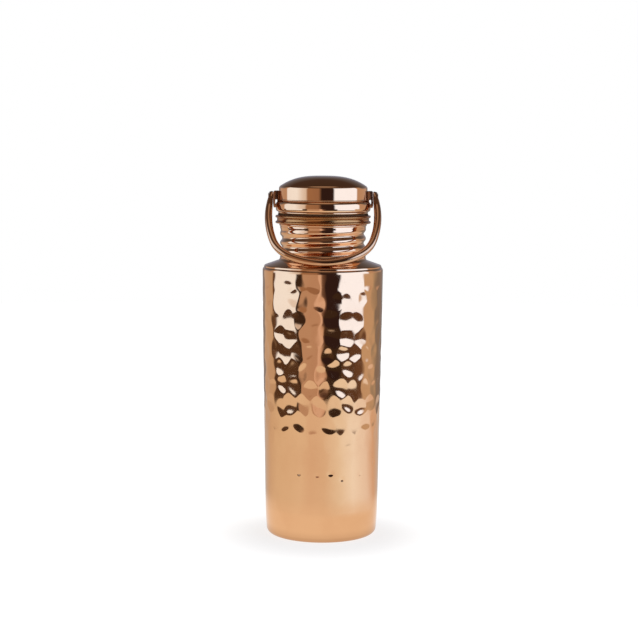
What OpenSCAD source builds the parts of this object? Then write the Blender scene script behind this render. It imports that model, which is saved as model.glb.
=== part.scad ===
// Copper water bottle: hammered tapered body, spun shoulder, rolled screw
// neck, domed screw lid and a swinging bail handle.
// Millimetres. Origin at the centre of the foot, +Z up, front is -Y.

/* [Body] */
// Outer diameter of the body over its upper part
body_top_d = 76.2; // [74:0.1:78]
// Outer diameter 20 mm above the foot, where the taper ends
body_low_d = 72; // [70:0.1:74]
// Outer diameter just above the rounded foot
body_foot_d = 70.2; // [68:0.1:71]
// Height of the hammered body
body_h = 170.8; // [160:0.1:220]
// Height above which the body stops tapering
taper_h = 150; // [80:1:155]
// Wall of the body
body_wall = 1.0; // [0.8:0.1:1.2]
// Radius of the rounded foot
foot_round = 3.6; // [3:0.1:5]
// Width of the flat ring that the bottle stands on
foot_ring_w = 2.6; // [2:0.1:4]
// How far the base plate is pressed in at its centre
base_rise = 2.4; // [1:0.1:4]

/* [Neck] */
// Diameter over the thread crests of the neck
neck_d = 54.2; // [53:0.1:55]
// Slope of the shoulder, in degrees
shoulder_slope = 19.5; // [16:0.5:20]
// Height of the neck above the shoulder fillet
neck_h = 26.2; // [25:0.1:32]
// Rise of the thread in one turn
pitch = 6; // [5:0.5:7]
// Depth of the rolled thread
thread_depth = 1.35; // [1:0.05:1.4]
// Wall of the rolled parts
roll_wall = 0.95; // [0.8:0.05:0.95]
// Diameter over the lips of the mouth collar
collar_d = 60.2; // [59.4:0.1:60.6]
// Height of the mouth collar
collar_h = 5.2; // [5:0.1:6]

/* [Lid] */
// Gap between the plug thread and the neck thread
thread_gap = 0.35; // [0.3:0.05:0.5]
// Length of the plug below the gasket
plug_len = 20; // [18:0.5:21]
// Thickness of the gasket
gasket_t = 1.0; // [0.8:0.1:1.5]
// Diameter of the lower band of the lid
band_d = 59.8; // [59:0.1:60.2]
// Height of the lower band of the lid
band_h = 8; // [7.5:0.1:9]
// Diameter of the domed top of the lid
dome_d = 55.8; // [55.4:0.1:56.2]
// Height of the straight wall of the domed top
dome_wall_h = 7.6; // [7.5:0.1:9.5]
// Height of the dome above its rounded edge
dome_rise = 6.2; // [4:0.1:8]

/* [Handle] */
// Diameter of the handle rod
rod_d = 4.7; // [4.2:0.1:4.8]
// Distance from the bottle's axis to the centre of the rod at its pivot
pivot_x = 32; // [31.9:0.05:32.2]
// Outward lean of the rod where it leaves the pivot, in degrees
leg_lean = 14.8; // [14:0.2:16]
// Bend radius of the legs
leg_r = 62; // [58:1:66]
// Angle bent in the legs, in degrees
leg_a = 33; // [31:1:35]
// Bend radius of the corners
corner_r = 21.4; // [20:0.2:23]
// Angle bent in the corners, in degrees
corner_a = 43; // [41:1:45]
// Angle between the resting handle and straight down, in degrees
rest_a = 41.3; // [41:0.1:46]
// Diameter of the pivot rivets
pin_d = 3; // [2.5:0.1:3.2]
// Width of the ears
ear_w = 9; // [7:0.5:11]

/* [Hidden] */
$fn = 96;

r_top = body_top_d / 2;
r_low = body_low_d / 2;
r_foot = body_foot_d / 2;
r_flat = r_foot - foot_round;          // outer edge of the standing ring
r_in = r_top - body_wall;              // bore of the body at its top
crest_r = neck_d / 2;
plain_r = crest_r - roll_wall;         // bore of the mouth
fillet_r = 2.0;                        // fillet between shoulder and neck
rim_r = 1.0;                           // rounded outer edge of the shoulder
top_r = 2.2;                           // the body's wall turned in at its top

// where the shoulder slope starts, and the centre of the fillet above it
slope_x = r_in - rim_r + rim_r * sin(shoulder_slope);
slope_z = body_h + 0.1 + rim_r * cos(shoulder_slope);
fil_x = crest_r + fillet_r;
fil_z = slope_z + (slope_x - fil_x) * tan(shoulder_slope)
        + fillet_r / cos(shoulder_slope);
neck_z = fil_z + 0.44;                 // foot of the neck sleeve
mouth_z = neck_z + neck_h;             // top of the neck and collar
collar_z = mouth_z - collar_h;
seal_z = mouth_z + gasket_t;           // underside of the lid
seam_z = seal_z + band_h;              // joint between band and dome
wall_top_z = seam_z + dome_wall_h;
edge_r = 2.2;                          // rounded edge of the dome
pivot_z = seam_z + 2.6;
ear_x = 31.5;                          // outer face of the ears
band_r = band_d / 2;
dome_r = dome_d / 2;
rod_r = rod_d / 2;

// thread: one right-hand start, valleys of the neck where u is 0
turn_z = neck_z + 2.7;
facets = 60;

function smooth(a, b, x) = let (t = min(1, max(0, (x - a) / (b - a)))) t * t * (3 - 2 * t);
function arc(c, r, a0, a1, n) = [for (i = [0 : n]) let (a = a0 + (a1 - a0) * i / n)
    [c[0] + r * cos(a), c[1] + r * sin(a)]];

// outer radius of the body at height z, above the rounded foot
function body_r(z) = z < 20
    ? r_foot + (r_low - r_foot) * sin(90 * (z - foot_round) / (20 - foot_round))
    : z > taper_h ? r_top : r_low + (r_top - r_low) * (z - 20) / (taper_h - 20);
taper = concat([for (i = [0 : 5]) foot_round + (20 - foot_round) * i / 6],
               [20, taper_h, body_h - top_r]);

// depth of the thread valley, 1 in the valley and 0 on the crest
function valley(z, a) = let (u = (z - turn_z) / pitch - a / 360)
    pow(0.5 + 0.5 * cos(360 * u), 1.2);
// how far the neck thread is run in at height z
function neck_run(z) = smooth(neck_z - 0.3, neck_z + 2.4, z)
    * (1 - smooth(collar_z - 6.5, collar_z - 2.4, z));
function neck_out(z, a) = crest_r - thread_depth * neck_run(z) * valley(z, a)
    + 0.55 * sqrt(max(0, 1 - pow((z - collar_z + 0.8) / 0.8, 2)));
function neck_in(z, a) = plain_r - thread_depth * neck_run(z) * valley(z, a);
neck_rows = concat([for (i = [0 : 32]) neck_z + (collar_z - 1.7 - neck_z) * i / 32],
    [for (d = [1.5, 1.15, 0.8, 0.45, 0.1, 0]) collar_z - d], [mouth_z]);

// the plug's thread keeps the same gap to the neck's all round
plug_z = seal_z - plug_len;
plug_crest = plain_r - thread_gap;
plug_root = plug_crest - thread_depth;
function plug_run(z) = smooth(plug_z + 1.4, plug_z + 3.4, z)
    * (1 - smooth(collar_z - 5.5, collar_z - 2.5, z));
function plug_out(z, a) = plug_root + thread_depth * plug_run(z) * (1 - valley(z, a));
function plug_in(z, a) = plug_out(z, a) - roll_wall;
plug_rows = concat([plug_z, plug_z + 1.2],
    [for (i = [1 : 19]) plug_z + 1.2 + (collar_z - 2.3 - plug_z - 1.2) * i / 19],
    [seal_z + 0.9]);

// closed sleeve through rings of outer and inner points, rows going up
module sleeve(outer, inner) {
    n = len(outer[0]);
    m = len(outer);
    function o(j, i) = j * n + i % n;
    function w(j, i) = m * n + j * n + i % n;
    polyhedron(
        points = concat([for (row = outer) each row], [for (row = inner) each row]),
        faces = concat(
            [for (j = [0 : m - 2]) for (i = [0 : n - 1]) each
                [[o(j, i), o(j + 1, i), o(j + 1, i + 1)], [o(j, i), o(j + 1, i + 1), o(j, i + 1)]]],
            [for (j = [0 : m - 2]) for (i = [0 : n - 1]) each
                [[w(j, i), w(j + 1, i + 1), w(j + 1, i)], [w(j, i), w(j, i + 1), w(j + 1, i + 1)]]],
            [for (i = [0 : n - 1]) each
                [[o(0, i), o(0, i + 1), w(0, i + 1)], [o(0, i), w(0, i + 1), w(0, i)]]],
            [for (i = [0 : n - 1]) each
                [[o(m - 1, i), w(m - 1, i + 1), o(m - 1, i + 1)], [o(m - 1, i), w(m - 1, i), w(m - 1, i + 1)]]]),
        convexity = 8);
}
function ring(r, z, a) = [r * cos(a), r * sin(a), z];

// tapered tube with a rolled-in foot
module body_shell() {
    color([0.80, 0.50, 0.34])
    rotate_extrude($fn = 128) polygon(concat(
        [[r_flat - foot_ring_w, 0]],
        arc([r_flat, foot_round], foot_round, -90, 0, 10),
        [for (z = taper) if (z > foot_round) [body_r(z), z]],
        arc([r_top - top_r, body_h - top_r], top_r, 8, acos(1 - body_wall / top_r), 6),
        [for (i = [len(taper) - 2 : -1 : 0]) [body_r(taper[i]) - body_wall, taper[i]]],
        arc([r_flat, foot_round], foot_round - body_wall, -9, -90, 9),
        [[r_flat - foot_ring_w, body_wall]]));
}

// pressed disc soldered inside the rolled foot
module base_plate() {
    r = r_flat - 0.3;
    dish = r - 3;
    color([0.72, 0.44, 0.30])
    rotate_extrude() polygon(concat(
        [[r, body_wall], [r, body_wall + 0.9]],
        [for (i = [0 : 12]) let (x = dish * (1 - i / 12))
            [x, body_wall + 0.9 + base_rise * (1 - pow(x / dish, 2))]],
        [for (i = [0 : 12]) let (x = (dish + 0.2) * i / 12)
            [x, body_wall + base_rise * (1 - pow(x / (dish + 0.2), 2))]]));
}

// spun shoulder with a skirt inside the body and a short neck
module shoulder() {
    color([0.80, 0.50, 0.34])
    rotate_extrude($fn = 128) polygon(concat(
        [[r_in, body_h - 5]],
        arc([r_in - rim_r, body_h + 0.1], rim_r, 0, 90 - shoulder_slope, 6),
        arc([fil_x, fil_z], fillet_r, 270 - shoulder_slope, 180, 8),
        [[crest_r, neck_z], [plain_r, neck_z]],
        arc([fil_x, fil_z], fillet_r + roll_wall, 180, 270 - shoulder_slope, 8),
        [[r_in - 0.95, slope_z - roll_wall / cos(shoulder_slope)
            + (slope_x - r_in + 0.95) * tan(shoulder_slope)],
         [r_in - 0.95, body_h - 5]]));
}

// rolled screw sleeve with a bead under the mouth collar
module neck_sleeve() {
    color([0.84, 0.54, 0.38])
    sleeve([for (z = neck_rows) [for (i = [0 : facets - 1]) let (a = i * 360 / facets) ring(neck_out(z, a), z, a)]],
           [for (z = neck_rows) [for (i = [0 : facets - 1]) let (a = i * 360 / facets) ring(neck_in(z, a), z, a)]]);
}

// turned collar round the mouth: two lips with a shallow groove between
module mouth_collar() {
    r = collar_d / 2;
    color([0.62, 0.38, 0.25])
    translate([0, 0, collar_z])
    rotate_extrude($fn = 128) polygon(concat(
        [[crest_r, 0], [r - 1.2, 0]],
        arc([r - 0.75, 0.75], 0.75, -80, 70, 7),
        [[r - 1.0, 1.75], [r - 1.05, 2.4], [r - 1.05, 2.9], [r - 0.9, 3.3]],
        arc([r - 0.75, collar_h - 0.9], 0.75, -60, 80, 7),
        [[r - 1.3, collar_h], [crest_r, collar_h]]));
}

// flat silicone ring held between the collar and the lid
module gasket() {
    color([0.10, 0.08, 0.07])
    translate([0, 0, mouth_z])
    difference() {
        cylinder(r = 28.5, h = gasket_t);
        translate([0, 0, -1]) cylinder(r = plug_root + 0.3, h = gasket_t + 2);
    }
}

// outline of the barrel-shaped lower band, from its bottom bead to the seam
function barrel(z, w) = band_r - w - 1.7 * pow(abs((z - band_h / 2 - 0.3) / (band_h / 2 - 0.5)), 2.4);
module band_outline(w) {
    for (i = [0 : 0]) polygon(concat(
        [[plug_root, 0], [band_r - 2.4, 0]],
        arc([band_r - 2.25, 0.72], 0.72, -80, 25, 6),
        [for (i = [1 : 14]) let (z = 1.1 + (band_h - 1.4) * i / 14) [barrel(z, 0), z]],
        [[band_r - 2.3, band_h], [band_r - 3.1, band_h]],
        [for (i = [13 : -1 : 2]) let (z = 1.1 + (band_h - 1.4) * i / 14) [barrel(z, w), z]],
        [[band_r - 2.6, 0.9], [plug_root, 0.9]]));
}
module lid_band() {
    color([0.86, 0.56, 0.40])
    translate([0, 0, seal_z]) rotate_extrude($fn = 128) band_outline(0.9);
}

// height of the dome above its edge circle, at radius x
edge_x = dome_r - edge_r;
function dome_z(x) = dome_rise * (1 - pow(x / (edge_x + edge_r * sin(28)), 2.9));
dome_foot = wall_top_z + edge_r * cos(28);

// domed top with a straight wall and a bead at the seam
module lid_dome() {
    x1 = edge_x + edge_r * sin(28);
    color([0.78, 0.48, 0.33])
    rotate_extrude($fn = 128) polygon(concat(
        [[dome_r - 0.9, seam_z], [dome_r - 0.2, seam_z]],
        arc([dome_r + 0.05, seam_z + 0.55], 0.55, -80, 80, 7),
        [[dome_r, seam_z + 1.25]],
        arc([edge_x, wall_top_z], edge_r, 0, 62, 7),
        [for (i = [1 : 16]) let (x = x1 * (1 - i / 16)) [x, dome_foot + dome_z(x)]],
        [for (i = [0 : 15]) let (x = x1 * i / 16) [x, dome_foot + dome_z(x) - 0.95]],
        arc([edge_x, wall_top_z], edge_r - 0.9, 55, 0, 6)));
}

// rolled screw plug that hangs from the lid
module plug_sleeve() {
    color([0.80, 0.52, 0.36])
    sleeve([for (z = plug_rows) [for (i = [0 : facets - 1]) let (a = i * 360 / facets) ring(plug_out(z, a), z, a)]],
           [for (z = plug_rows) [for (i = [0 : facets - 1]) let (a = i * 360 / facets) ring(plug_in(z, a), z, a)]]);
}

// disc that closes the bottom of the plug
module plug_floor() {
    color([0.76, 0.47, 0.32])
    translate([0, 0, plug_z + 0.1])
        cylinder(r = (plug_root - roll_wall) * cos(180 / facets) - 0.01, h = 0.9);
}

// lug that carries a pivot, with a leg that comes down to the band below it
module ear(side) {
    px = ear_x;
    mirror([side < 0 ? 1 : 0, 0, 0])
    difference() {
        translate([0, ear_w / 2, 0]) rotate([90, 0, 0]) linear_extrude(ear_w)
            difference() {
                polygon(concat(
                    [[dome_r - 1.5, pivot_z + 3.6]],
                    arc([px - 1.2, pivot_z + 2.4], 1.2, 90, 0, 5),
                    [[px, pivot_z - 4.2], [px - 0.4, pivot_z - 6.9], [band_r - 1.5, pivot_z - 6.9],
                     [band_r - 1.5, seam_z - 1.0], [dome_r - 1.5, seam_z - 1.0]]));
                polygon([[dome_r - 2.5, pivot_z - 1.9], [px - 1.6, pivot_z - 1.9], [px - 1.2, pivot_z - 2.3],
                    [px - 1.2, pivot_z - 4.3], [band_r - 0.6, pivot_z - 5.0], [dome_r - 2.5, pivot_z - 5.0]]);
            }
        // the lid's own outer shape is left clear
        translate([0, 0, seal_z]) rotate_extrude($fn = 128) polygon(concat([[0, 0]],
            [for (i = [1 : 14]) let (z = 1.1 + (band_h - 1.4) * i / 14) [barrel(z, 0), z]],
            [[band_r - 2.3, band_h], [0, band_h]]));
        translate([0, 0, seam_z]) rotate_extrude($fn = 128) polygon(concat([[0, 0], [dome_r - 0.2, 0]],
            arc([dome_r + 0.05, 0.55], 0.55, -80, 80, 7),
            [[dome_r, 1.25], [dome_r, dome_wall_h], [0, dome_wall_h]]));
        translate([28.6, 0, pivot_z]) rotate([0, 90, 0]) cylinder(d = pin_d, h = 6, $fn = 48);
    }
}
module ear_left() { color([0.50, 0.31, 0.22]) ear(-1); }
module ear_right() { color([0.50, 0.31, 0.22]) ear(1); }

// rivet pressed into an ear through the end of the handle
module pivot_pin(side) {
    mirror([side < 0 ? 1 : 0, 0, 0])
    translate([0, 0, pivot_z]) rotate([0, 90, 0]) {
        translate([0, 0, 28.8]) cylinder(d = pin_d, h = ear_x - 26, $fn = 48);
        translate([0, 0, ear_x + 2.75]) cylinder(d1 = pin_d + 1.6, d2 = pin_d + 0.4, h = 0.45, $fn = 48);
    }
}
module pivot_pin_left() { color([0.66, 0.42, 0.28]) pivot_pin(-1); }
module pivot_pin_right() { color([0.66, 0.42, 0.28]) pivot_pin(1); }

// handle outline: three tangent bends on each side, measured from the pivot
a1 = leg_lean - leg_a;
a2 = a1 - corner_a;
c1 = [pivot_x - leg_r * cos(leg_lean), -leg_r * sin(leg_lean)];
c2 = c1 + (leg_r - corner_r) * [cos(a1), sin(a1)];
x2 = c2[0] + corner_r * cos(a2);
bow_r = x2 / cos(a2);
c3 = c2 + (corner_r - bow_r) * [cos(a2), sin(a2)];
// every bend from the right pivot round to the left one: centre, radius, angles, steps
function flip(c) = [-c[0], c[1]];
bends = [[c1, leg_r, leg_lean, a1, 8], [c2, corner_r, a1, a2, 8], [c3, bow_r, a2, -180 - a2, 10],
         [flip(c2), corner_r, -180 - a2, -180 - a1, 8], [flip(c1), leg_r, -180 - a1, -180 - leg_lean, 8]];
rod_sides = 20;
function rod_ring(c, r, h) = [for (i = [0 : rod_sides - 1])
    let (t = i * 360 / rod_sides, q = r + rod_r * cos(t))
    [c[0] + q * cos(h), rod_r * sin(t), c[1] + q * sin(h)]];
module rod() {
    rings = concat([rod_ring(c1, leg_r, leg_lean)],
        [for (b = bends) for (k = [1 : b[4]]) rod_ring(b[0], b[1], b[2] + (b[3] - b[2]) * k / b[4])]);
    m = len(rings);
    function v(j, i) = j * rod_sides + i % rod_sides;
    polyhedron(points = [for (g = rings) each g],
        faces = concat(
            [for (j = [0 : m - 2]) for (i = [0 : rod_sides - 1]) each
                [[v(j, i), v(j, i + 1), v(j + 1, i + 1)], [v(j, i), v(j + 1, i + 1), v(j + 1, i)]]],
            [[for (i = [rod_sides - 1 : -1 : 0]) v(0, i)], [for (i = [0 : rod_sides - 1]) v(m - 1, i)]]),
        convexity = 6);
}
tab_in = ear_x + 0.2;
tab_out = ear_x + 2.7;
module bail() {
    color([0.74, 0.44, 0.30])
    translate([0, 0, pivot_z]) rotate([-rest_a, 0, 0])
    difference() {
        union() {
            rod();
            for (m = [0, 180]) rotate([0, 0, m]) translate([tab_in, 0, 0]) rotate([0, 90, 0])
                rotate_extrude($fn = 64) polygon(concat([[0, 0], [3.3, 0]],
                    arc([2.3, tab_out - tab_in - 1], 1, 0, 90, 5), [[0, tab_out - tab_in]]));
        }
        for (m = [0, 180]) rotate([0, 0, m]) {
            translate([tab_in - 10, -6, -12]) cube([10, 12, 18]);
            translate([tab_in - 5, 0, 0]) rotate([0, 90, 0]) cylinder(d = pin_d + 0.1, h = 12, $fn = 48);
            translate([tab_out, 0, 0]) rotate([0, 90, 0]) cylinder(d = pin_d + 2.4, h = 2, $fn = 48);
        }
    }
}

body_shell();
base_plate();
shoulder();
neck_sleeve();
mouth_collar();
gasket();
lid_band();
lid_dome();
plug_sleeve();
plug_floor();
ear_left();
ear_right();
pivot_pin_left();
pivot_pin_right();
bail();
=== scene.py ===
import math
from math import cos, pi, radians, sin, sqrt, tan

import bmesh
import bpy
import numpy as np
from mathutils import Matrix, Vector


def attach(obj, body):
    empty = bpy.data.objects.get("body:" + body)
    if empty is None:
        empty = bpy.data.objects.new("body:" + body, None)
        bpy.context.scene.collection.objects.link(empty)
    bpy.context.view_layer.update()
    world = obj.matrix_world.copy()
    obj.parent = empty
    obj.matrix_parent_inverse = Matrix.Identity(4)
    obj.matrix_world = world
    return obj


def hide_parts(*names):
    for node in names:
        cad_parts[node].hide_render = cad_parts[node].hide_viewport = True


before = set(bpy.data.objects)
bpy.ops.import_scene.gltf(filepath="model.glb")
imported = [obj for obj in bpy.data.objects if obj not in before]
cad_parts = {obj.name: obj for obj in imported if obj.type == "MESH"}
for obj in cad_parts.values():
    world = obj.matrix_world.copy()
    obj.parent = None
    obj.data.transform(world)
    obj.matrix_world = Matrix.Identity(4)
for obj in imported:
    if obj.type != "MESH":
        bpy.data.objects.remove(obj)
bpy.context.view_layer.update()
scene = bpy.context.scene

# ---------------------------------------------------------------- camera
cam_data = bpy.data.cameras.new("camera")
cam_data.sensor_width = 36.0
cam_data.lens = 1558.0 / 638.0 * 36.0
cam_data.clip_start = 0.05
cam_data.clip_end = 50.0
camera = bpy.data.objects.new("camera", cam_data)
scene.collection.objects.link(camera)
camera.matrix_world = (
    Matrix.Translation((-0.0022, -0.985, 0.240))
    @ Matrix.Rotation(radians(90.0 - 5.96), 4, "X")
    @ Matrix.Rotation(radians(0.34), 4, "Z")
)
scene.camera = camera

# ---------------------------------------------------------------- sizes, as in the CAD, in millimetres
R_TOP, R_LOW, R_FOOT = 38.07, 36.0, 35.1
BODY_H, TAPER_H, FOOT_R, WALL = 170.8, 150.0, 3.6, 1.0
TOP_R = 2.2
R_FLAT = R_FOOT - FOOT_R
R_IN = 37.1
CREST, ROLL, DEPTH, PITCH = 27.1, 0.95, 1.35, 6.0
PLAIN = CREST - ROLL
SLOPE = 19.5
SLOPE_X = R_IN - 1.0 + sin(radians(SLOPE))
SLOPE_Z = BODY_H + 0.1 + cos(radians(SLOPE))
FIL_R = 2.0
FIL_X = CREST + FIL_R
FIL_Z = SLOPE_Z + (SLOPE_X - FIL_X) * tan(radians(SLOPE)) + FIL_R / cos(radians(SLOPE))
NECK_Z = FIL_Z + 0.44
MOUTH_Z = NECK_Z + 26.2
COLLAR_H = 5.2
COLLAR_Z = MOUTH_Z - COLLAR_H
COLLAR_R = 30.1
SEAL_Z = MOUTH_Z + 1.0
BAND_H, BAND_R = 8.0, 29.9
SEAM_Z = SEAL_Z + BAND_H
DOME_R, DOME_WALL, EDGE_R, DOME_RISE = 27.9, 7.6, 2.2, 6.2
WALL_TOP = SEAM_Z + DOME_WALL
PIVOT_Z = SEAM_Z + 2.6
PLUG_Z = SEAL_Z - 20.0
PLUG_CREST = PLAIN - 0.35
PLUG_ROOT = PLUG_CREST - DEPTH
TURN_Z = NECK_Z + 2.7
EAR_X = 31.5
ROD_R = 2.35
REST_A = 41.3
MM = 0.001


def arc(cx, cz, r, a0, a1, n):
    return [
        (cx + r * cos(radians(a0 + (a1 - a0) * i / n)), cz + r * sin(radians(a0 + (a1 - a0) * i / n)))
        for i in range(n + 1)
    ]


def smooth(a, b, x):
    t = np.clip((np.asarray(x, float) - a) / (b - a), 0.0, 1.0)
    return t * t * (3 - 2 * t)


# ---------------------------------------------------------------- mesh helpers
def finish_mesh(name, mesh, angle=35.0):
    mesh.validate()
    mesh.update()
    mesh.shade_smooth()
    mesh.set_sharp_from_angle(angle=radians(angle))
    obj = bpy.data.objects.new(name, mesh)
    scene.collection.objects.link(obj)
    return obj


def grid_mesh(name, rings, closed_loop, angle=35.0, cap=False):
    """rings: array (m, n, 3) of rings in millimetres. closed_loop joins the last ring to the first."""
    rings = np.asarray(rings, float)
    m, n = rings.shape[:2]
    verts = rings.reshape(-1, 3) * MM
    faces = []
    for j in range(m if closed_loop else m - 1):
        k = (j + 1) % m
        for i in range(n):
            l = (i + 1) % n
            faces.append((j * n + i, j * n + l, k * n + l, k * n + i))
    if cap:
        faces.append(tuple(range(n - 1, -1, -1)))
        faces.append(tuple((m - 1) * n + i for i in range(n)))
    mesh = bpy.data.meshes.new(name)
    mesh.from_pydata(verts.tolist(), [], faces)
    return finish_mesh(name, mesh, angle)


def lathe(name, profile, n=256, angle=35.0):
    """A closed profile of (r, z), counter-clockwise in the r-z plane, turned about Z. Points at r = 0 become one vertex."""
    prof = [p for i, p in enumerate(profile) if i == 0 or math.dist(p, profile[i - 1]) > 1e-4]
    if math.dist(prof[0], prof[-1]) < 1e-4:
        prof.pop()
    verts, index = [], []
    for r, z in prof:
        if r < 1e-6:
            index.append([len(verts)] * n)
            verts.append((0.0, 0.0, z * MM))
        else:
            index.append(list(range(len(verts), len(verts) + n)))
            for i in range(n):
                a = 2 * pi * i / n
                verts.append((r * cos(a) * MM, r * sin(a) * MM, z * MM))
    faces = []
    m = len(prof)
    for j in range(m):
        a, b = index[j], index[(j + 1) % m]
        if a[0] == a[1] and b[0] == b[1]:
            continue
        for i in range(n):
            l = (i + 1) % n
            face = [a[i], a[l], b[l], b[i]]
            face = [v for q, v in enumerate(face) if v != face[q - 1]]
            if len(face) > 2:
                faces.append(tuple(face))
    mesh = bpy.data.meshes.new(name)
    mesh.from_pydata(verts, [], faces)
    bm = bmesh.new()
    bm.from_mesh(mesh)
    bmesh.ops.recalc_face_normals(bm, faces=bm.faces)
    bm.to_mesh(mesh)
    bm.free()
    return finish_mesh(name, mesh, angle)


def round_profile(profile, radius, steps=4):
    """Rounds each corner of a closed profile that turns by more than 30 degrees."""
    out, m = [], len(profile)
    for i in range(m):
        p0, p1, p2 = (np.array(profile[(i + k) % m], float) for k in (-1, 0, 1))
        d0, d1 = p0 - p1, p2 - p1
        l0, l1 = np.linalg.norm(d0), np.linalg.norm(d1)
        if l0 < 1e-6 or l1 < 1e-6:
            out.append(tuple(p1))
            continue
        turn = math.degrees(math.acos(float(np.clip(-(d0 @ d1) / (l0 * l1), -1, 1))))
        on_axis = p1[0] < 1e-6
        if turn < 30 or on_axis:
            out.append(tuple(p1))
            continue
        t = min(radius, 0.45 * l0, 0.45 * l1)
        a, b = p1 + d0 / l0 * t, p1 + d1 / l1 * t
        for k in range(steps + 1):
            s = k / steps
            q = (1 - s) ** 2 * a + 2 * s * (1 - s) * p1 + s * s * b
            out.append((float(q[0]), float(q[1])))
    return out


def boolean_cut(obj, cutter):
    mod = obj.modifiers.new("cut", "BOOLEAN")
    mod.operation = "DIFFERENCE"
    mod.solver = "EXACT"
    mod.object = cutter
    bpy.context.view_layer.update()
    dg = bpy.context.evaluated_depsgraph_get()
    mesh = bpy.data.meshes.new_from_object(obj.evaluated_get(dg))
    obj.modifiers.clear()
    old = obj.data
    obj.data = mesh
    bpy.data.meshes.remove(old)
    bpy.data.objects.remove(cutter)
    obj.data.shade_smooth()
    obj.data.set_sharp_from_angle(angle=radians(32))
    return obj


def x_cylinder(name, r, x0, x1, z, n=64):
    """A plain cylinder along X, used only to cut holes."""
    rings = []
    for x in (x0, x1):
        rings.append([(x, r * cos(2 * pi * i / n), z + r * sin(2 * pi * i / n)) for i in range(n)])
    obj = grid_mesh(name, rings, False, cap=True)
    bm = bmesh.new()
    bm.from_mesh(obj.data)
    bmesh.ops.recalc_face_normals(bm, faces=bm.faces)
    bm.to_mesh(obj.data)
    bm.free()
    return obj


# ---------------------------------------------------------------- hammered body
DENT = 0.37


def body_radius(z):
    z = np.asarray(z, float)
    low = R_FOOT + (R_LOW - R_FOOT) * np.sin(pi / 2 * np.clip((z - FOOT_R) / (20 - FOOT_R), 0, 1))
    mid = R_LOW + (R_TOP - R_LOW) * (z - 20) / (TAPER_H - 20)
    return np.where(z < 20, low, np.where(z > TAPER_H, R_TOP, mid))


def hammer_depth(theta, z):
    """Depth of the hammer marks in millimetres over a grid of angles and heights."""
    rng = np.random.default_rng(41)
    total = np.zeros((len(z), len(theta)))
    columns, row_h = 25, 10.9
    rows = 15
    for j in range(rows):
        zc = 162.5 - j * row_h
        phase = 0.5 * (j % 2) + rng.uniform(-0.25, 0.25)
        for i in range(columns):
            tc = (i + phase + rng.uniform(-0.22, 0.22)) * 2 * pi / columns
            cz = zc + rng.uniform(-2.3, 2.3)
            a = rng.uniform(4.3, 6.0)
            b = rng.uniform(5.0, 7.4)
            strength = rng.uniform(0.55, 1.0)
            skew = rng.uniform(-0.13, 0.13)
            p1, p2 = rng.uniform(0, 2 * pi, 2)
            level = 0.50 * float(smooth(164, 112, cz)) + 0.50 * float(smooth(140, 118, cz))
            d = DENT * strength * (0.80 + 0.20 * level) * float(np.interp(cz, (8, 40, 50, 58, 66, 78, 90), (0.04, 0.08, 0.14, 0.30, 0.62, 0.84, 1.0)))
            zi = np.where(np.abs(z - cz) < 1.4 * b)[0]
            dt = (theta - tc + pi) % (2 * pi) - pi
            ti = np.where(np.abs(dt) * R_TOP < 1.7 * a)[0]
            if not len(zi) or not len(ti):
                continue
            dz = (z[zi] - cz)[:, None]
            du = (dt[ti] * R_TOP)[None, :] + skew * dz
            ang = np.arctan2(dz / b, du / a)
            rho = np.sqrt((du / a) ** 2 + (dz / b) ** 2)
            rho = rho * (1 + 0.08 * np.cos(2 * ang + p1) + 0.07 * np.cos(3 * ang + p2))
            bowl = np.where(rho < 1, (1 - np.clip(rho, 0, 1) ** 2) ** 1.5, 0.0)
            total[np.ix_(zi, ti)] += (d * bowl) ** 3
    # a few stray pits from the hammer's edge, low on the wall
    for deg, cz, a, b, d in ((-23.0, 44.2, 2.4, 2.0, 0.24), (-4.2, 43.6, 2.6, 2.0, 0.25), (9.0, 44.6, 2.8, 2.2, 0.27), (20.5, 40.8, 2.3, 2.0, 0.22), (41.0, 43.0, 2.1, 1.9, 0.23),
                             (64.0, 48.0, 2.2, 2.0, 0.20), (118.0, 44.0, 2.4, 2.0, 0.22), (165.0, 42.0, 2.3, 2.0, 0.21), (-130.0, 45.0, 2.3, 2.1, 0.22)):
        du = ((theta - radians(deg - 90.0) + pi) % (2 * pi) - pi) * R_LOW
        rho2 = (du[None, :] / a) ** 2 + ((z - cz)[:, None] / b) ** 2
        total += (d * np.clip(1 - rho2, 0, 1) ** 1.6) ** 3
    depth = total ** (1 / 3)
    amount = smooth(167.0, 159, z) * smooth(5, 12, z)
    return depth * amount[:, None]


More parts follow.
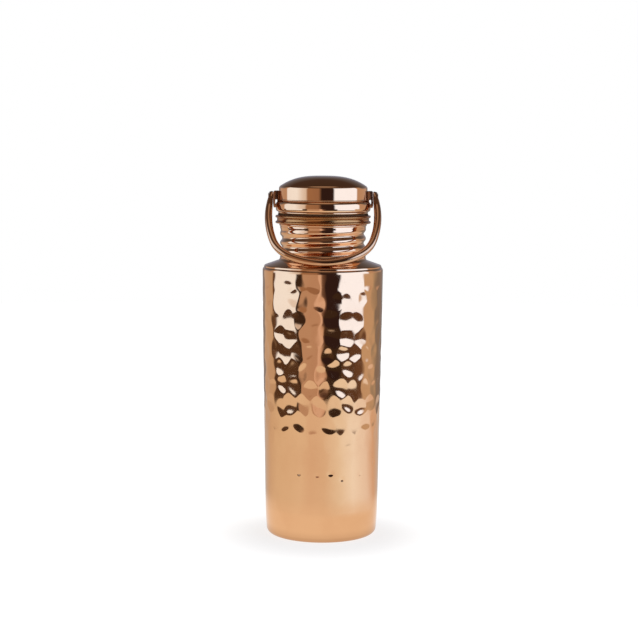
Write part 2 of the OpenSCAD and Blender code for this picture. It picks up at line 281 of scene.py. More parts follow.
def hammered_body():
    n = 384
    theta = np.arange(n) * 2 * pi / n
    z = np.linspace(FOOT_R, BODY_H - TOP_R, 204)
    depth = hammer_depth(theta, z)
    # a slow, shallow unevenness that any hand-worked wall has
    uneven = np.zeros_like(depth)
    rng = np.random.default_rng(7)
    for _ in range(26):
        m, kz, ph, pz = rng.integers(2, 9), rng.uniform(0.02, 0.12), rng.uniform(0, 2 * pi), rng.uniform(0, 2 * pi)
        uneven += 0.010 * np.cos(m * theta + ph)[None, :] * np.cos(kz * z + pz)[:, None]
    uneven = (uneven + 0.05) * (smooth(167.6, 157, z) * smooth(4.6, 16, z))[:, None]
    r = body_radius(z)[:, None] - np.maximum(depth + np.maximum(uneven, 0), 0)
    rings = []

    def ring(rad, zz):
        rings.append(np.stack([rad * np.cos(theta), rad * np.sin(theta), np.full(n, zz)], 1))

    ones = np.ones(n)
    ring((R_FLAT - 2.6 + 0.25) * ones, 0.0)
    for q, zz in arc(R_FLAT, FOOT_R, FOOT_R, -90, 0, 14)[:-1]:
        ring(q * ones, zz)
    for j in range(len(z)):
        ring(r[j], z[j])
    lip = math.degrees(math.acos(1 - WALL / TOP_R))
    for q, zz in arc(R_TOP - TOP_R, BODY_H - TOP_R, TOP_R, 5, lip, 12):
        ring(q * ones, zz)
    for zz in np.linspace(165.0, FOOT_R + 1.0, 12):
        ring((body_radius(zz) - WALL) * ones, zz)
    for q, zz in arc(R_FLAT, FOOT_R, FOOT_R - WALL, 0, -90, 7):
        ring(q * ones, zz)
    ring((R_FLAT - 2.6) * ones, WALL)
    ring((R_FLAT - 2.6) * ones, 0.25)
    return grid_mesh("body_hammered", np.array(rings), True, angle=50)


body = hammered_body()

# ---------------------------------------------------------------- turned and spun pieces
base_r, dish = R_FLAT - 0.3, R_FLAT - 3.3
base = lathe("base_disc", round_profile(
    [(base_r, WALL), (base_r, WALL + 0.9)]
    + [(dish * (1 - i / 24), WALL + 0.9 + 2.4 * (1 - (1 - i / 24) ** 2)) for i in range(25)]
    + [((dish + 0.2) * i / 24, WALL + 2.4 * (1 - (i / 24) ** 2)) for i in range(25)], 0.15), 192)

sq = 270 - SLOPE
shoulder = lathe("shoulder_spun", round_profile(
    [(R_IN, BODY_H - 5)]
    + arc(R_IN - 1.0, BODY_H + 0.1, 1.0, 0, 90 - SLOPE, 8)
    + arc(FIL_X, FIL_Z, FIL_R, sq, 180, 14)
    + [(CREST, NECK_Z), (PLAIN, NECK_Z)]
    + arc(FIL_X, FIL_Z, FIL_R + ROLL, 180, sq, 14)
    + [(R_IN - 0.95, SLOPE_Z - ROLL / cos(radians(SLOPE)) + (SLOPE_X - R_IN + 0.95) * tan(radians(SLOPE))),
       (R_IN - 0.95, BODY_H - 5)], 0.12), 256, 30)

collar = lathe("collar_turned", [(r, COLLAR_Z + z) for r, z in round_profile(
    [(CREST, 0), (COLLAR_R - 1.2, 0)]
    + arc(COLLAR_R - 0.75, 0.75, 0.75, -80, 75, 12)
    + [(COLLAR_R - 0.95, 1.62), (COLLAR_R - 1.02, 1.9), (COLLAR_R - 1.05, 2.5), (COLLAR_R - 1.03, 3.05), (COLLAR_R - 0.95, 3.35)]
    + arc(COLLAR_R - 0.75, COLLAR_H - 0.9, 0.75, -65, 80, 12)
    + [(COLLAR_R - 1.3, COLLAR_H), (CREST, COLLAR_H)], 0.1)], 256, 50)

gasket = lathe("seal_ring", round_profile(
    [(PLUG_ROOT + 0.3, MOUTH_Z), (28.5, MOUTH_Z), (28.5, MOUTH_Z + 1.0), (PLUG_ROOT + 0.3, MOUTH_Z + 1.0)], 0.3, 5), 192)


def barrel(z, w=0.0):
    return BAND_R - w - 1.7 * abs((z - BAND_H / 2 - 0.3) / (BAND_H / 2 - 0.5)) ** 4.5


band_z = [1.1 + (BAND_H - 1.4) * i / 36 for i in range(2, 37)]
band = lathe("lid_band_spun", [(r, SEAL_Z + z) for r, z in round_profile(
    [(PLUG_ROOT, 0), (BAND_R - 2.4, 0)]
    + arc(BAND_R - 2.25, 0.72, 0.72, -80, 25, 12)
    + [(barrel(z), z) for z in band_z]
    + [(BAND_R - 2.3, BAND_H), (BAND_R - 3.1, BAND_H)]
    + [(barrel(z, 0.9), z) for z in reversed(band_z[1:-1])]
    + [(BAND_R - 2.6, 0.9), (PLUG_ROOT, 0.9)], 0.12)], 256, 50)

EDGE_X = DOME_R - EDGE_R
X1 = EDGE_X + EDGE_R * sin(radians(28))
DOME_FOOT = WALL_TOP + EDGE_R * cos(radians(28))


def dome_z(x):
    return DOME_RISE * (1 - (x / X1) ** 2.9)


dome = lathe("lid_dome_spun", round_profile(
    [(DOME_R - 0.9, SEAM_Z), (DOME_R - 0.2, SEAM_Z)]
    + arc(DOME_R, SEAM_Z + 0.42, 0.40, -80, 80, 12)
    + [(DOME_R, SEAM_Z + 1.25)]
    + arc(EDGE_X, WALL_TOP, EDGE_R, 0, 62, 12)
    + [(X1 * (1 - i / 48), DOME_FOOT + dome_z(X1 * (1 - i / 48))) for i in range(1, 49)]
    + [(X1 * i / 24, DOME_FOOT + dome_z(X1 * i / 24) - 0.95) for i in range(24)]
    + arc(EDGE_X, WALL_TOP, EDGE_R - 0.9, 55, 0, 6), 0.1), 256, 50)

floor_r = (PLUG_ROOT - ROLL) * cos(radians(3)) - 0.01
plug_floor = lathe("plug_disc", [(r, PLUG_Z + 0.1 + z) for r, z in round_profile(
    [(0, 0), (floor_r - 5, 0), (floor_r - 4, 0.18), (floor_r - 1.2, 0.18), (floor_r, 0), (floor_r, 0.9), (0, 0.9)], 0.12)], 128)


# ---------------------------------------------------------------- rolled threads
def valley(z, a):
    u = (z - TURN_Z) / PITCH - a / (2 * pi)
    return (0.5 + 0.5 * np.cos(2 * pi * u)) ** 1.2


def neck_run(z):
    return smooth(NECK_Z - 0.3, NECK_Z + 2.4, z) * (1 - smooth(COLLAR_Z - 6.5, COLLAR_Z - 2.4, z))


def sleeve_mesh(name, outer, inner, z, n=192):
    theta = np.arange(n) * 2 * pi / n
    rings = []
    for zz in z:
        r = outer(zz, theta)
        rings.append(np.stack([r * np.cos(theta), r * np.sin(theta), np.full(n, zz)], 1))
    for zz in z[::-1]:
        r = inner(zz, theta)
        rings.append(np.stack([r * np.cos(theta), r * np.sin(theta), np.full(n, zz)], 1))
    return grid_mesh(name, np.array(rings), True, angle=60)


def neck_outer(z, a):
    bead = 0.55 * sqrt(max(0.0, 1 - ((z - COLLAR_Z + 0.8) / 0.8) ** 2))
    return CREST - DEPTH * neck_run(z) * valley(z, a) + bead


def neck_inner(z, a):
    return PLAIN - DEPTH * neck_run(z) * valley(z, a)


neck_z = np.concatenate([
    np.linspace(NECK_Z, COLLAR_Z - 1.62, 96),
    COLLAR_Z - 0.8 - 0.8 * np.cos(np.linspace(0.12, pi - 0.3, 12)),
    [MOUTH_Z - 0.15, MOUTH_Z]])
neck = sleeve_mesh("neck_rolled", neck_outer, neck_inner, neck_z)


def plug_run(z):
    return smooth(PLUG_Z + 1.4, PLUG_Z + 3.4, z) * (1 - smooth(COLLAR_Z - 5.5, COLLAR_Z - 2.5, z))


def plug_outer(z, a):
    return PLUG_ROOT + DEPTH * plug_run(z) * (1 - valley(z, a)) - (0.25 if z < PLUG_Z + 0.05 else 0.0)


def plug_inner(z, a):
    return PLUG_ROOT + DEPTH * plug_run(z) * (1 - valley(z, a)) - ROLL + (0.2 if z < PLUG_Z + 0.05 else 0.0)


plug = sleeve_mesh("plug_rolled", plug_outer, plug_inner,
                   np.concatenate([[PLUG_Z, PLUG_Z + 0.3], np.linspace(PLUG_Z + 1.2, COLLAR_Z - 2.3, 64), [SEAL_Z + 0.9]]))


# ---------------------------------------------------------------- handle
LEAN, LEG_R, LEG_A, COR_R, COR_A, PIV_X = 14.8, 62.0, 33.0, 21.4, 43.0, 32.0
A1 = LEAN - LEG_A
A2 = A1 - COR_A
C1 = np.array([PIV_X - LEG_R * cos(radians(LEAN)), -LEG_R * sin(radians(LEAN))])
C2 = C1 + (LEG_R - COR_R) * np.array([cos(radians(A1)), sin(radians(A1))])
X2 = C2[0] + COR_R * cos(radians(A2))
BOW_R = X2 / cos(radians(A2))
C3 = C2 + (COR_R - BOW_R) * np.array([cos(radians(A2)), sin(radians(A2))])


def bail_path():
    """(centre x, centre z, outward heading) of the rod in the handle's own plane, right pivot to left pivot."""
    pts = []
    for c, r, a, b, n in ((C1, LEG_R, LEAN, A1, 60), (C2, COR_R, A1, A2, 30), (C3, BOW_R, A2, -90, 30)):
        for k in range(n):
            h = radians(a + (b - a) * k / n)
            pts.append((c[0] + r * cos(h), c[1] + r * sin(h), h))
    pts.append((0.0, C3[1] - BOW_R, -pi / 2))
    left = [(-x, z, -pi - h) for x, z, h in reversed(pts[:-1])]
    return pts + left


def bail_piece():
    path = bail_path()
    n = 40
    tab_in, tab_out = EAR_X + 0.2, EAR_X + 2.7
    rings = []
    length = [0.0]
    for p, q in zip(path, path[1:]):
        length.append(length[-1] + math.dist(p[:2], q[:2]))
    total = length[-1]
    # the rounded end of the paddle, above the pivot
    end_steps = 12

    def soft_max(v, lo):
        return lo + 0.5 * ((v - lo) + sqrt((v - lo) ** 2 + 0.05))

    def section(cx, cz, h, width, side, x_out, x_in):
        """A round section, spread to a half width in y, whose two faces are pressed flat at x_out and x_in."""
        ring = []
        for i in range(n):
            t = 2 * pi * i / n
            x = cx + ROD_R * cos(t) * cos(h)
            z = cz + ROD_R * cos(t) * sin(h)
            y = width * math.copysign(abs(sin(t)) ** (1 - 0.25 * (width - ROD_R)), sin(t))
            x = side * soft_max(side * x, x_in)
            x = side * -soft_max(-side * x, -x_out)
            ring.append((x, y, z))
        return ring

    for j, (cx, cz, h) in enumerate(path):
        s = min(length[j], total - length[j])
        side = 1 if length[j] <= total / 2 else -1
        width = ROD_R + 0.95 * float(1 - smooth(1.5, 9.0, s))
        x_out = tab_out + 6.0 * float(smooth(1.2, 12.0, s))
        x_in = tab_in if s < 16 else -50.0
        rings.append(section(cx, cz, h, width, side, x_out, x_in))

    def cap_ring(side, k):
        """The paddle's round end, with its outer edge rolled over."""
        zz = 3.3 * sin(pi / 2 * k / end_steps)
        roll = 1.0 - sqrt(max(0.0, 1.0 - max(0.0, (zz - 2.3)) ** 2))
        w = max(3.3 * cos(pi / 2 * k / end_steps), 0.02)
        cx = side * PIV_X
        out, inn = tab_out - roll, tab_in + 0.25 * roll
        ring = []
        for i in range(n):
            t = 2 * pi * i / n
            h = 0.0 if side > 0 else -pi
            x = cx + ROD_R * cos(t) * cos(h)
            y = w * math.copysign(abs(sin(t)) ** 0.76, sin(t))
            x = side * soft_max(side * x, inn)
            x = side * -soft_max(-side * x, -out)
            ring.append((x, y, zz))
        return ring

    first = [cap_ring(1, k) for k in range(end_steps, 0, -1)]
    last = [cap_ring(-1, k) for k in range(1, end_steps + 1)]
    rings = np.array(first + rings + last)
    # lean to the resting angle and move to the pivot
    a = radians(-REST_A)
    y = rings[..., 1] * cos(a) - rings[..., 2] * sin(a)
    z = rings[..., 1] * sin(a) + rings[..., 2] * cos(a) + PIVOT_Z
    rings = np.stack([rings[..., 0], y, z], -1)
    obj = grid_mesh("bail_rod", rings, False, angle=40, cap=True)
    bm = bmesh.new()
    bm.from_mesh(obj.data)
    bmesh.ops.recalc_face_normals(bm, faces=bm.faces)
    bm.to_mesh(obj.data)
    bm.free()
    for x0, x1 in ((28.0, 38.0), (-38.0, -28.0)):
        boolean_cut(obj, x_cylinder("hole", 1.55, x0, x1, PIVOT_Z))
    return obj


bail = bail_piece()


# ---------------------------------------------------------------- ears and rivets
def prism(name, loop, rows):
    """A counter-clockwise loop in the x-z plane drawn along Y; rows are (y, inset) pairs that round its edges."""
    n = len(loop)
    pts = np.array(loop, float)
    t = np.roll(pts, -1, 0) - np.roll(pts, 1, 0)
    t /= np.maximum(np.linalg.norm(t, axis=1, keepdims=True), 1e-9)
    inward = np.stack([-t[:, 1], t[:, 0]], 1)
    rings = []
    for y, inset in rows:
        q = pts + inward * inset
        rings.append(np.stack([q[:, 0], np.full(n, y), q[:, 1]], 1))
    obj = grid_mesh(name, np.array(rings), False, angle=40, cap=True)
    bm = bmesh.new()
    bm.from_mesh(obj.data)
    bmesh.ops.recalc_face_normals(bm, faces=bm.faces)
    bm.to_mesh(obj.data)
    bm.free()
    return obj


def ear_piece(name, side):
    px, top, w = EAR_X, PIVOT_Z + 3.6, 4.5
    loop = [(27.6, top - 5.8), (27.6, SEAM_Z - 0.2), (28.5, SEAM_Z - 1.6), (29.2, SEAM_Z - 2.6), (29.45, PIVOT_Z - 6.9),
            (px - 0.45, PIVOT_Z - 6.9), (px - 0.16, PIVOT_Z - 5.6), (px, PIVOT_Z - 4.2), (px, PIVOT_Z - 1.0)]
    loop += arc(px - 1.2, top - 1.2, 1.2, 0, 90, 8) + [(27.6, top)]
    loop = loop[1:]
    loop = [(side * x, z) for x, z in loop]
    area = sum(loop[i][0] * loop[(i + 1) % len(loop)][1] - loop[(i + 1) % len(loop)][0] * loop[i][1] for i in range(len(loop)))
    if area < 0:
        loop = loop[::-1]
    rows = [(-w, 0.35), (-w + 0.1, 0.14), (-w + 0.35, 0.0), (w - 0.35, 0.0), (w - 0.1, 0.14), (w, 0.35)]
    obj = prism(name, loop, rows)
    gap = [(28.9, PIVOT_Z - 1.95), (28.9, PIVOT_Z - 3.6), (29.6, PIVOT_Z - 5.0), (px - 1.3, PIVOT_Z - 4.5), (px - 1.2, PIVOT_Z - 4.2),
           (px - 1.2, PIVOT_Z - 2.3), (px - 1.6, PIVOT_Z - 1.9)]
    gap = [(side * x, z) for x, z in gap]
    area = sum(gap[i][0] * gap[(i + 1) % len(gap)][1] - gap[(i + 1) % len(gap)][0] * gap[i][1] for i in range(len(gap)))
    if area < 0:
        gap = gap[::-1]
    boolean_cut(obj, prism("gap", gap, [(-6.0, 0.0), (6.0, 0.0)]))
    x0, x1 = (28.6, 33.0) if side > 0 else (-33.0, -28.6)
    return boolean_cut(obj, x_cylinder("hole", 1.5, x0, x1, PIVOT_Z, 48))


ear_l = ear_piece("ear_strap_left", -1)
ear_r = ear_piece("ear_strap_right", 1)


def rivet(name, side):
    h = EAR_X + 2.75
    prof = round_profile([(0, 28.8), (1.5, 28.8), (1.5, h), (2.3, h)]
                         + [(2.3 * cos(radians(a)) ** 0.8, h + 0.12 + 0.33 * sin(radians(a))) for a in (4, 20, 38, 55, 70, 82)]
                         + [(0, h + 0.45)], 0.08)
    obj = lathe(name, prof, 64, 40)
    rot = Matrix.Rotation(radians(90 * side), 4, "Y")
    obj.data.transform(Matrix.Translation((0, 0, PIVOT_Z * MM)) @ rot)
    return obj


pin_l = rivet("rivet_left", -1)
pin_r = rivet("rivet_right", 1)


# ---------------------------------------------------------------- materials
class Nodes:
    def __init__(self, tree):
        self.t = tree

    def new(self, kind, **kw):
        n = self.t.nodes.new(kind)
        for k, v in kw.items():
            setattr(n, k, v)
        return n

    def link(self, a, b):
        self.t.links.new(a, b)

    def math(self, op, a, b=None, c=None, clamp=False):
        n = self.new("ShaderNodeMath", operation=op, use_clamp=clamp)
        for i, v in enumerate((a, b, c)):
            if v is None:
                continue
            if isinstance(v, (int, float)):
                n.inputs[i].default_value = v
            else:
                self.link(v, n.inputs[i])
        return n.outputs[0]

    def span(self, v, a, b, lo=0.0, hi=1.0, smooth=True):
        n = self.new("ShaderNodeMapRange")
        n.interpolation_type = "SMOOTHSTEP" if smooth else "LINEAR"
        self.link(v, n.inputs[0])
        for i, x in enumerate((a, b, lo, hi)):
            n.inputs[1 + i].default_value = x
        return n.outputs[0]

    def mix(self, f, a, b, blend="MIX"):
        n = self.new("ShaderNodeMix", data_type="RGBA", blend_type=blend)
        for i, v in ((0, f), (6, a), (7, b)):
            if isinstance(v, (int, float)):
                n.inputs[i].default_value = v
            elif isinstance(v, tuple):
                n.inputs[i].default_value = (*v, 1.0)
            else:
                self.link(v, n.inputs[i])
        return n.outputs[2]

    def noise(self, vec, scale, detail=3.0, rough=0.5, distortion=0.0):
        n = self.new("ShaderNodeTexNoise")
        n.inputs["Scale"].default_value = scale
        n.inputs["Detail"].default_value = detail
        n.inputs["Roughness"].default_value = rough
        n.inputs["Distortion"].default_value = distortion
        self.link(vec, n.inputs["Vector"])
        return n.outputs[0]

    def ramp(self, fac, stops, interp="LINEAR"):
        n = self.new("ShaderNodeValToRGB")
        n.color_ramp.interpolation = interp
        el = n.color_ramp.elements
        while len(el) > 1:
            el.remove(el[-1])
        el[0].position, el[0].color = stops[0][0], (*stops[0][1], 1)
        for p, c in stops[1:]:
            e = el.new(p)
            e.color = (*c, 1)
        self.link(fac, n.inputs[0])
        return n.outputs[0]


def copper(name, base, rough, marks="circular", tarnish=0.25, bump=0.15, scale=1.0):
    """Copper with faint colour variation, uneven polish, and fine scratches that run round the turned pieces."""
    mat = bpy.data.materials.new(name)
    mat.use_nodes = True
    n = Nodes(mat.node_tree)
    bsdf = mat.node_tree.nodes["Principled BSDF"]
    coord = n.new("ShaderNodeTexCoord").outputs["Object"]
    sep = n.new("ShaderNodeSeparateXYZ")
    n.link(coord, sep.inputs[0])
    x, y, z = sep.outputs
    radius = n.math("SQRT", n.math("ADD", n.math("MULTIPLY", x, x), n.math("MULTIPLY", y, y)))
    # slow colour drift: a redder, darker film on a clean pink-orange metal
    cloud = n.noise(coord, 38 * scale, 4, 0.55, 0.3)
    spots = n.noise(coord, 210 * scale, 3, 0.6)
    film = n.math("MULTIPLY", n.span(cloud, 0.42, 0.70), tarnish)
    film = n.math("ADD", film, n.math("MULTIPLY", n.span(spots, 0.62, 0.80), tarnish * 0.35), clamp=True)
    dark = tuple(b * m for b, m in zip(base, (0.80, 0.66, 0.58)))
    colour = n.mix(film, base, dark)
    n.link(colour, bsdf.inputs["Base Color"])
    bsdf.inputs["Metallic"].default_value = 1.0
    # uneven polish
    rub = n.noise(coord, 95 * scale, 5, 0.6, 0.2)
    r = n.math("ADD", rough, n.math("MULTIPLY", n.math("SUBTRACT", rub, 0.5), rough * 0.9))
    # fine scratches
    if marks == "circular":
        comb = n.new("ShaderNodeCombineXYZ")
        n.link(n.math("MULTIPLY", radius, 1.0), comb.inputs[0])
        n.link(n.math("MULTIPLY", n.math("ARCTAN2", y, x), 0.0009), comb.inputs[1])
        n.link(z, comb.inputs[2])
        vec = comb.outputs[0]
        lines = n.noise(vec, 2600, 2, 0.6)
        broad = n.noise(vec, 900, 2, 0.5)
        fine = n.math("ADD", n.math("MULTIPLY", lines, 0.6), n.math("MULTIPLY", broad, 0.4))
    elif marks == "axial":
        comb = n.new("ShaderNodeMapping")
        comb.inputs["Scale"].default_value = (1.0, 1.0, 0.06)
        n.link(coord, comb.inputs["Vector"])
        fine = n.noise(comb.outputs[0], 1500, 3, 0.6, 0.1)
    else:
        a = n.new("ShaderNodeMapping")
        a.inputs["Scale"].default_value = (1.0, 1.0, 0.12)
        a.inputs["Rotation"].default_value = (0.5, 0.35, 0.2)
        n.link(coord, a.inputs["Vector"])
        b = n.new("ShaderNodeMapping")
        b.inputs["Scale"].default_value = (0.14, 1.0, 1.0)
        b.inputs["Rotation"].default_value = (0.2, -0.5, 0.6)
        n.link(coord, b.inputs["Vector"])
        fine = n.math("MAXIMUM", n.noise(a.outputs[0], 1300, 2, 0.5), n.noise(b.outputs[0], 1300, 2, 0.5))
    r = n.math("ADD", r, n.math("MULTIPLY", n.span(fine, 0.55, 0.75), rough * 0.45))
    n.link(n.math("MAXIMUM", r, 0.02), bsdf.inputs["Roughness"])
    bump_node = n.new("ShaderNodeBump")
    bump_node.inputs["Strength"].default_value = bump
    bump_node.inputs["Distance"].default_value = 0.00002
    n.link(fine, bump_node.inputs["Height"])
    n.link(bump_node.outputs[0], bsdf.inputs["Normal"])
    return mat


BASE = (0.80, 0.445, 0.225)
mat_body = copper("hammered_copper", BASE, 0.055, "crossed", 0.16, 0.10)
mat_lid = copper("polished_lid_copper", BASE, 0.05, "circular", 0.12, 0.10)
mat_neck = copper("rolled_neck_copper", (0.82, 0.46, 0.24), 0.07, "circular", 0.15, 0.12)
mat_rod = copper("handle_copper", (0.63, 0.33, 0.165), 0.10, "crossed", 0.35, 0.15)
mat_collar = copper("satin_collar_copper", (0.47, 0.20, 0.065), 0.25, "circular", 0.45, 0.35)
mat_ear = copper("strap_copper", (0.42, 0.21, 0.11), 0.22, "crossed", 0.5, 0.25)
mat_base = copper("base_copper", (0.74, 0.41, 0.22), 0.16, "circular", 0.35, 0.30)


def rubber():
    mat = bpy.data.materials.new("dark_seal")
    mat.use_nodes = True
    n = Nodes(mat.node_tree)
    bsdf = mat.node_tree.nodes["Principled BSDF"]
    coord = n.new("ShaderNodeTexCoord").outputs["Object"]
    grain = n.noise(coord, 900, 3, 0.6)
    n.link(n.mix(n.span(grain, 0.3, 0.7), (0.085, 0.036, 0.013), (0.115, 0.050, 0.020)), bsdf.inputs["Base Color"])
    n.link(n.span(grain, 0.3, 0.7, 0.65, 0.85), bsdf.inputs["Roughness"])
    bsdf.inputs["Specular IOR Level"].default_value = 0.05
    b = n.new("ShaderNodeBump")
    b.inputs["Strength"].default_value = 0.2
    b.inputs["Distance"].default_value = 0.00003
    n.link(grain, b.inputs["Height"])
    n.link(b.outputs[0], bsdf.inputs["Normal"])
    return mat


mat_seal = rubber()

PIECES = [
    (body, "bottle", mat_body, "hammered_copper", "body_shell"),
    (base, "bottle", mat_base, "polished_copper", "base_plate"),
    (shoulder, "bottle", mat_lid, "polished_copper", "shoulder"),
    (neck, "bottle", mat_neck, "polished_copper", "neck_sleeve"),
    (collar, "bottle", mat_collar, "satin_copper", "mouth_collar"),
    (gasket, "seal", mat_seal, "seal", "gasket"),
    (band, "lid", mat_lid, "polished_copper", "lid_band"),
    (dome, "lid", mat_lid, "polished_copper", "lid_dome"),
    (plug, "lid", mat_neck, "polished_copper", "plug_sleeve"),
    (plug_floor, "lid", mat_base, "polished_copper", "plug_floor"),
    (ear_l, "lid", mat_ear, "satin_copper", "ear_left"),
    (ear_r, "lid", mat_ear, "satin_copper", "ear_right"),
    (pin_l, "lid", mat_ear, "satin_copper", "pivot_pin_left"),
    (pin_r, "lid", mat_ear, "satin_copper", "pivot_pin_right"),
    (bail, "handle", mat_rod, "polished_copper", "bail"),
]
for obj, body_name, mat, slot, node in PIECES:
    obj.data.materials.clear()
    obj.data.materials.append(mat)
    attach(obj, body_name)
    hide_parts(node)

# ---------------------------------------------------------------- floor and studio
def disc(name, rings, z, n=128):
    """A flat disc or ring of the stage, as radii from the inside out."""
    bm = bmesh.new()
    prev = None
    for r in rings:
        row = [bm.verts.new((r * cos(2 * pi * i / n), r * sin(2 * pi * i / n), z)) for i in range(n)] if r > 0 else [bm.verts.new((0, 0, z))]
        if prev is not None:
            for i in range(n):
                k = (i + 1) % n
                if len(prev) == 1:
                    bm.faces.new((prev[0], row[i], row[k]))
                else:
                    bm.faces.new((prev[i], row[i], row[k], prev[k]))
        prev = row
    mesh = bpy.data.meshes.new(name)
    bm.to_mesh(mesh)
    bm.free()
    obj = bpy.data.objects.new(name, mesh)
    scene.collection.objects.link(obj)
    return obj


def stops(rows):
    return [((a + 180) / 360, c) for a, c in rows]


LEFT = (1.12, 1.60, 2.50)
RIGHT = (1.24, 1.90, 3.40)
GREY = (0.60, 0.50, 0.45)
EDGE = (0.66, 0.60, 0.53)
DARK = (0.05, 0.035, 0.028)
GAP = (0.10, 0.065, 0.045)
BLACK = (0.035, 0.022, 0.026)
BACK = (0.28, 0.27, 0.27)

# the table as it is seen: glowing nearly white, with a soft contact shadow that is partly real on its dim diffuse part
# and mostly painted, as emission that dips near the bottle's foot
floor = disc("floor", [0.0, 0.1, 0.6, 1.6], -0.00005)
floor.visible_glossy = False
fmat = bpy.data.materials.new("pale_floor_painted_shadow")
fmat.use_nodes = True
fb = fmat.node_tree.nodes["Principled BSDF"]
fb.inputs["Base Color"].default_value = (0.32, 0.27, 0.21, 1)
fb.inputs["Roughness"].default_value = 0.9
fb.inputs["Specular IOR Level"].default_value = 0.0
fb.inputs["Emission Color"].default_value = (1.0, 1.0, 1.0, 1)
fnodes = Nodes(fmat.node_tree)
fsep = fnodes.new("ShaderNodeSeparateXYZ")
fnodes.link(fnodes.new("ShaderNodeTexCoord").outputs["Object"], fsep.inputs[0])
fx, fy = fsep.outputs[0], fnodes.math("ADD", fsep.outputs[1], 0.010)
painted_shadow_radius = fnodes.math("SQRT", fnodes.math("ADD", fnodes.math("MULTIPLY", fx, fx), fnodes.math("MULTIPLY", fy, fy)))
# painted contact shadow: emission falls from 1.0 to 0.795 within 84 mm of a centre set 10 mm towards the camera
fnodes.link(fnodes.span(painted_shadow_radius, 0.032, 0.084, 0.795, 1.0), fb.inputs["Emission Strength"])
floor.data.materials.append(fmat)

# the same table as the copper reflects it, a glowing disc seen only in reflections, with painted light: brighter and
# bluer to the right, dimmer behind, a painted contact shadow round the foot, and a dark studio floor past its edge
mirror_floor = disc("mirror_floor", [0.0, 0.05, 0.2, 0.5, 0.52, 0.96], -0.0002)
mirror_floor.visible_camera = False
mirror_floor.visible_diffuse = False
mirror_floor.visible_shadow = False
gmat = bpy.data.materials.new("table_reflection_painted_light")
gmat.use_nodes = True
gt = gmat.node_tree
gt.nodes.clear()
g = Nodes(gt)
gsep = g.new("ShaderNodeSeparateXYZ")
g.link(g.new("ShaderNodeTexCoord").outputs["Object"], gsep.inputs[0])
gx, gy, _ = gsep.outputs
gr = g.math("SQRT", g.math("ADD", g.math("MULTIPLY", gx, gx), g.math("MULTIPLY", gy, gy)))
gfac = g.math("ADD", g.math("DIVIDE", g.math("ARCTAN2", gx, g.math("MULTIPLY", gy, -1.0)), 2 * pi), 0.5)
# painted light across the reflected table: dimmer behind, brighter and bluer to the right
table = g.ramp(gfac, stops([
    (-180, (0.62, 0.60, 0.58)), (-150, (0.62, 0.60, 0.58)), (-120, (0.74, 0.68, 0.60)), (-95, (0.84, 0.84, 0.80)), (-40, (0.90, 0.92, 0.92)),
    (-20, (0.86, 0.83, 0.82)), (5, (0.88, 0.88, 0.88)), (30, (0.98, 1.12, 1.25)), (60, (1.08, 1.35, 1.75)), (95, (0.98, 1.10, 1.35)),
    (118, (0.80, 0.68, 0.60)), (150, (0.62, 0.60, 0.58)), (180, (0.62, 0.60, 0.58))]))
table = g.mix(g.span(gr, 0.080, 0.150), (0.97, 0.96, 0.95), table)
# painted contact shadow in the reflected table, darker within 32 to 55 mm of the centre
table = g.mix(g.span(gr, 0.032, 0.055), (0.74, 0.70, 0.68), table)
beyond = g.ramp(gfac, stops([
    (-180, BACK), (-156, BACK), (-148, EDGE), (-110, EDGE), (-104, GAP), (-50, GAP), (-44, DARK), (-41, DARK),
    (-38, (0.60, 0.50, 0.46)), (-10, (0.59, 0.47, 0.43)), (-7, (0.85, 0.75, 0.78)), (-3, (0.75, 0.62, 0.60)), (4, GAP),
    (12, DARK), (33, DARK), (38, GAP), (80, (0.16, 0.10, 0.07)), (86, EDGE), (108, EDGE), (120, (0.43, 0.42, 0.38)), (132, BACK), (180, BACK)]))
gem = g.new("ShaderNodeEmission")
g.link(g.mix(g.span(gr, 0.488, 0.528), table, beyond), gem.inputs["Color"])
gout = g.new("ShaderNodeOutputMaterial")
g.link(gem.outputs[0], gout.inputs["Surface"])
mirror_floor.data.materials.append(gmat)

world = bpy.data.worlds.new("studio")
scene.world = world
world.use_nodes = True
wt = world.node_tree
wt.nodes.clear()
w = Nodes(wt)
gen = w.new("ShaderNodeTexCoord").outputs["Generated"]
wsep = w.new("ShaderNodeSeparateXYZ")
w.link(gen, wsep.inputs[0])
wx, wy, wz = wsep.outputs
az = w.math("ARCTAN2", wx, w.math("MULTIPLY", wy, -1.0))
fac = w.math("ADD", w.math("DIVIDE", az, 2 * pi), 0.5)
elev = w.math("MULTIPLY", w.math("ARCSINE", wz), 180 / pi)
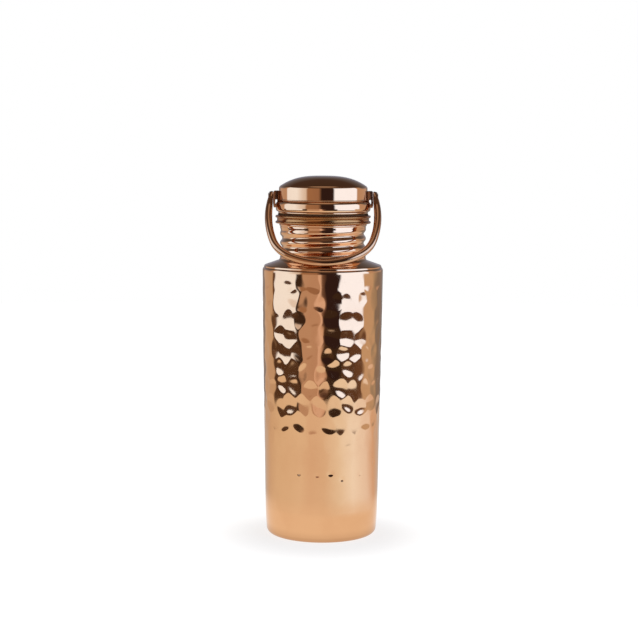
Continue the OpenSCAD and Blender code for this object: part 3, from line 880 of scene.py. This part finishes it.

# softboxes and panels all round, from level with the table's far edge up to about 30 degrees, dark above
mid = w.ramp(fac, stops([
    (-180, BACK), (-150, BACK), (-146, GREY), (-110, GREY), (-106, LEFT), (-72, LEFT), (-55, (0.92, 1.15, 1.6)),
    (-46, (0.85, 1.0, 1.3)), (-41, (0.42, 0.29, 0.21)), (-12, (0.38, 0.26, 0.20)), (-4, BLACK), (26, BLACK), (30, RIGHT), (96, RIGHT),
    (100, GREY), (146, GREY), (150, BACK), (180, BACK)]))
# a little below level
low = w.ramp(fac, stops([
    (-180, BACK), (-156, BACK), (-148, EDGE), (-112, EDGE), (-109, (0.14, 0.09, 0.06)), (-104, (0.14, 0.09, 0.06)), (-101, LEFT),
    (-53, LEFT), (-50, DARK), (-41, DARK), (-38, (0.60, 0.50, 0.46)), (-10, (0.59, 0.47, 0.43)), (-8, (0.85, 0.75, 0.78)),
    (-4, (0.85, 0.75, 0.78)), (-1, (0.22, 0.15, 0.13)), (8, BLACK), (33, BLACK), (36, RIGHT), (81, RIGHT), (86, EDGE), (108, EDGE),
    (120, (0.43, 0.42, 0.38)), (132, BACK), (180, BACK)]))
back = w.ramp(w.span(elev, 0, 90, smooth=False), [
    (0.0, (0.30, 0.33, 0.44)), (8 / 90, (0.30, 0.33, 0.44)), (14 / 90, (0.21, 0.23, 0.29)), (26 / 90, (0.125, 0.13, 0.15)),
    (40 / 90, (0.07, 0.05, 0.045)), (1.0, (0.06, 0.042, 0.035))])
behind = w.span(w.math("ABSOLUTE", az), radians(108), radians(128))
behind = w.math("MULTIPLY", behind, w.span(elev, 2, 7))
sky = w.mix(w.span(elev, -4.2, -2.2), low, mid)
sky = w.mix(w.span(elev, 27, 36), sky, (0.11, 0.080, 0.070))
sky = w.mix(behind, sky, back)
sky = w.mix(w.span(elev, 67, 75), sky, (0.50, 0.44, 0.42))
bg = w.new("ShaderNodeBackground")
w.link(sky, bg.inputs["Color"])
white = w.new("ShaderNodeBackground")
white.inputs["Color"].default_value = (1, 1, 1, 1)
lp = w.new("ShaderNodeLightPath")
mixs = w.new("ShaderNodeMixShader")
w.link(lp.outputs["Is Camera Ray"], mixs.inputs[0])
w.link(bg.outputs[0], mixs.inputs[1])
w.link(white.outputs[0], mixs.inputs[2])
out = w.new("ShaderNodeOutputWorld")
w.link(mixs.outputs[0], out.inputs["Surface"])

scene.view_settings.view_transform = "Standard"
scene.view_settings.look = "None"
scene.view_settings.exposure = 0.0
scene.view_settings.gamma = 1.0
